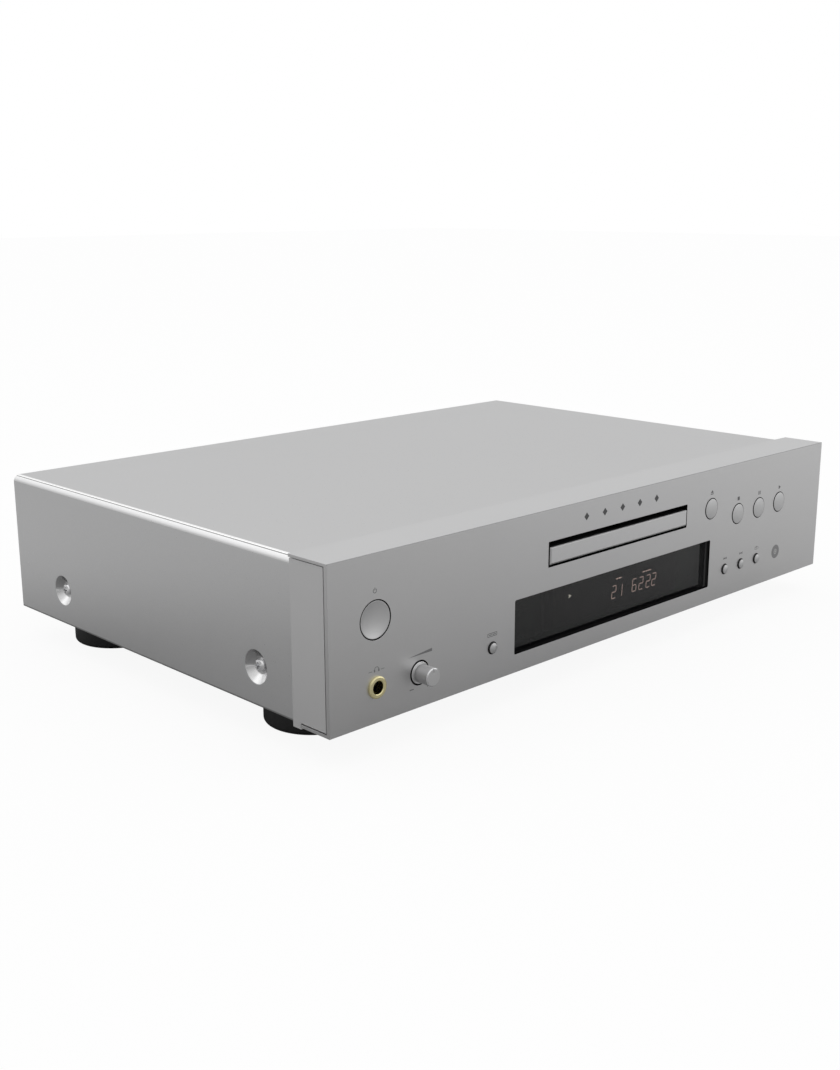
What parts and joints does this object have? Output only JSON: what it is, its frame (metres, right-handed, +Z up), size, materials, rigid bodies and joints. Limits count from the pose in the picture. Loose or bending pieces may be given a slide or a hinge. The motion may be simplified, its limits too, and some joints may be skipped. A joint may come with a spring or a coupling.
{
  "type": "cd player",
  "caption": "Slim full-width disc player in silver: aluminium front with sliding disc tray, smoked display window, push buttons, level knob and headphone socket.",
  "frame": {"origin": "middle of the overall width and depth, on the surface the feet stand on", "axes": "+Z up, the front panel faces -Y, +X to the right seen from the front"},
  "size_m": [0.435, 0.3072, 0.1009],
  "materials": {
    "anodised_panel": "satin, fine bead-blasted and anodised",
    "cap_silver": "silver paint, matt",
    "cover_silver": "silver powder paint, satin",
    "galvanised_steel": "galvanised sheet, as rolled",
    "rear_grey": "dark grey paint, matt",
    "foot_black": "black, fine grained",
    "black_moulding": "black, matt",
    "smoked_window": "smoked, polished",
    "display_glass": "dark glass",
    "circuit_board": "green solder resist",
    "switch_grey": "matt",
    "button_silver": "satin",
    "knob_silver": "turned and anodised, bright chamfer",
    "gold_plate": "gold plated, polished",
    "tray_black": "dark grey, fine texture",
    "loader_grey": "moulded, matt",
    "gear_white": "natural acetal",
    "belt_rubber": "matt",
    "motor_steel": "drawn can, nickel",
    "rod_chrome": "ground and polished",
    "puck_white": "matt",
    "pickup_black": "matt",
    "lens_glass": "polished, coated",
    "core_iron": "varnished laminations",
    "bright_screw": "nickel plated",
    "plain_screw": "zinc plated",
    "socket_black": "matt",
    "cable_white": "flat cable film"
  },
  "bodies": {
    "casing": {"front_panel": "anodised_panel", "end_cap_left": "cap_silver", "end_cap_right": "cap_silver", "top_cover": "cover_silver", "cover_screws": "bright_screw", "bottom_chassis": "galvanised_steel", "rear_panel": "rear_grey", "foot_front_left": "foot_black", "foot_front_right": "foot_black", "foot_rear_left": "foot_black", "foot_rear_right": "foot_black", "foot_screws": "plain_screw", "chassis_screws": "plain_screw", "board_screws": "plain_screw", "front_subframe": "black_moulding", "display_window": "smoked_window", "display_module": "display_glass", "front_board": "circuit_board", "tact_switches": "switch_grey", "level_pot": "switch_grey", "headphone_ring": "gold_plate", "headphone_jack": "socket_black", "loader_frame": "loader_grey", "loading_motor": "motor_steel", "drive_belt": "belt_rubber", "clamp_bridge": "galvanised_steel", "traverse_base": "loader_grey", "dampers": "belt_rubber", "spindle_motor": "motor_steel", "guide_rods": "rod_chrome", "sled_motor": "motor_steel", "transformer": "core_iron", "power_board": "circuit_board", "main_board": "circuit_board", "ribbon_cable": "cable_white", "analog_jacks": "gold_plate", "digital_jacks": "gold_plate", "ac_inlet": "socket_black"},
    "power_button": {"power_button": "button_silver"},
    "open_close_button": {"open_close_button": "button_silver"},
    "stop_button": {"stop_button": "button_silver"},
    "pause_button": {"pause_button": "button_silver"},
    "play_button": {"play_button": "button_silver"},
    "left_small_button": {"left_small_button": "button_silver"},
    "middle_small_button": {"middle_small_button": "button_silver"},
    "right_small_button": {"right_small_button": "button_silver"},
    "display_button": {"display_button": "button_silver"},
    "knob": {"level_knob": "knob_silver", "level_pot_shaft": "motor_steel"},
    "tray": {"tray_door": "button_silver", "disc_tray": "tray_black"},
    "drive_wheel": {"drive_gear": "gear_white"},
    "belt_wheel": {"pulley_gear": "gear_white"},
    "loading_motor_shaft": {"motor_pulley": "gear_white"},
    "turntable_rotor": {"turntable": "pickup_black"},
    "clamp": {"clamp_puck": "puck_white"},
    "pickup": {"optical_pickup": "pickup_black"},
    "lens": {"objective_lens": "lens_glass"},
    "sled_wheel": {"sled_gear": "gear_white"},
    "sled_motor_shaft": {"sled_pinion": "gear_white"}
  },
  "joints": [
    {"name": "tray_slide", "type": "slide", "parent": "casing", "child": "tray", "axis": [0, -1, 0], "range_m": [0, 0.136]},
    {"name": "drive_wheel_turn", "type": "hinge", "parent": "casing", "child": "drive_wheel", "pos_m": [-0.041, -0.1078, 0.07], "axis": [0, 0, 1], "continuous": true},
    {"name": "belt_wheel_turn", "type": "hinge", "parent": "casing", "child": "belt_wheel", "pos_m": [-0.0218, -0.1078, 0.064], "axis": [0, 0, 1], "continuous": true},
    {"name": "loading_motor_turn", "type": "hinge", "parent": "casing", "child": "loading_motor_shaft", "pos_m": [0.024, -0.1078, 0.062], "axis": [0, 0, 1], "continuous": true},
    {"name": "turntable_spin", "type": "hinge", "parent": "casing", "child": "turntable_rotor", "pos_m": [0, -0.0618, 0.077], "axis": [0, 0, 1], "continuous": true},
    {"name": "clamp_spin", "type": "hinge", "parent": "casing", "child": "clamp", "pos_m": [0, -0.0618, 0.084], "axis": [0, 0, 1], "continuous": true},
    {"name": "pickup_slide", "type": "slide", "parent": "casing", "child": "pickup", "axis": [0, 1, 0], "range_m": [0, 0.035]},
    {"name": "lens_focus", "type": "slide", "parent": "pickup", "child": "lens", "axis": [0, 0, 1], "range_m": [-0.0004, 0.0004]},
    {"name": "sled_wheel_turn", "type": "hinge", "parent": "casing", "child": "sled_wheel", "pos_m": [0.0302, -0.0098, 0.067], "axis": [0, 0, 1], "continuous": true},
    {"name": "sled_motor_turn", "type": "hinge", "parent": "casing", "child": "sled_motor_shaft", "pos_m": [0.0356, -0.00045, 0.067], "axis": [0, 0, 1], "continuous": true},
    {"name": "knob_turn", "type": "hinge", "parent": "casing", "child": "knob", "pos_m": [-0.1593, -0.1438, 0.0347], "axis": [0, -1, 0], "range_deg": [-150, 150]},
    {"name": "power_button_press", "type": "slide", "parent": "casing", "child": "power_button", "axis": [0, 1, 0], "range_m": [0, 0.0008]},
    {"name": "open_close_button_press", "type": "slide", "parent": "casing", "child": "open_close_button", "axis": [0, 1, 0], "range_m": [0, 0.0008]},
    {"name": "stop_button_press", "type": "slide", "parent": "casing", "child": "stop_button", "axis": [0, 1, 0], "range_m": [0, 0.0008]},
    {"name": "pause_button_press", "type": "slide", "parent": "casing", "child": "pause_button", "axis": [0, 1, 0], "range_m": [0, 0.0008]},
    {"name": "play_button_press", "type": "slide", "parent": "casing", "child": "play_button", "axis": [0, 1, 0], "range_m": [0, 0.0008]},
    {"name": "left_small_button_press", "type": "slide", "parent": "casing", "child": "left_small_button", "axis": [0, 1, 0], "range_m": [0, 0.0008]},
    {"name": "middle_small_button_press", "type": "slide", "parent": "casing", "child": "middle_small_button", "axis": [0, 1, 0], "range_m": [0, 0.0008]},
    {"name": "right_small_button_press", "type": "slide", "parent": "casing", "child": "right_small_button", "axis": [0, 1, 0], "range_m": [0, 0.0008]},
    {"name": "display_button_press", "type": "slide", "parent": "casing", "child": "display_button", "axis": [0, 1, 0], "range_m": [0, 0.0008]}
  ],
  "couplings": [
    {"joint": "drive_wheel_turn", "follows": "tray_slide", "rad_per_m": 111.11},
    {"joint": "belt_wheel_turn", "follows": "tray_slide", "rad_per_m": -333.33},
    {"joint": "loading_motor_turn", "follows": "tray_slide", "rad_per_m": -1166.7},
    {"joint": "clamp_spin", "follows": "turntable_spin", "ratio": 1},
    {"joint": "sled_wheel_turn", "follows": "pickup_slide", "rad_per_m": -238.1},
    {"joint": "sled_motor_turn", "follows": "pickup_slide", "rad_per_m": 476.19}
  ]
}
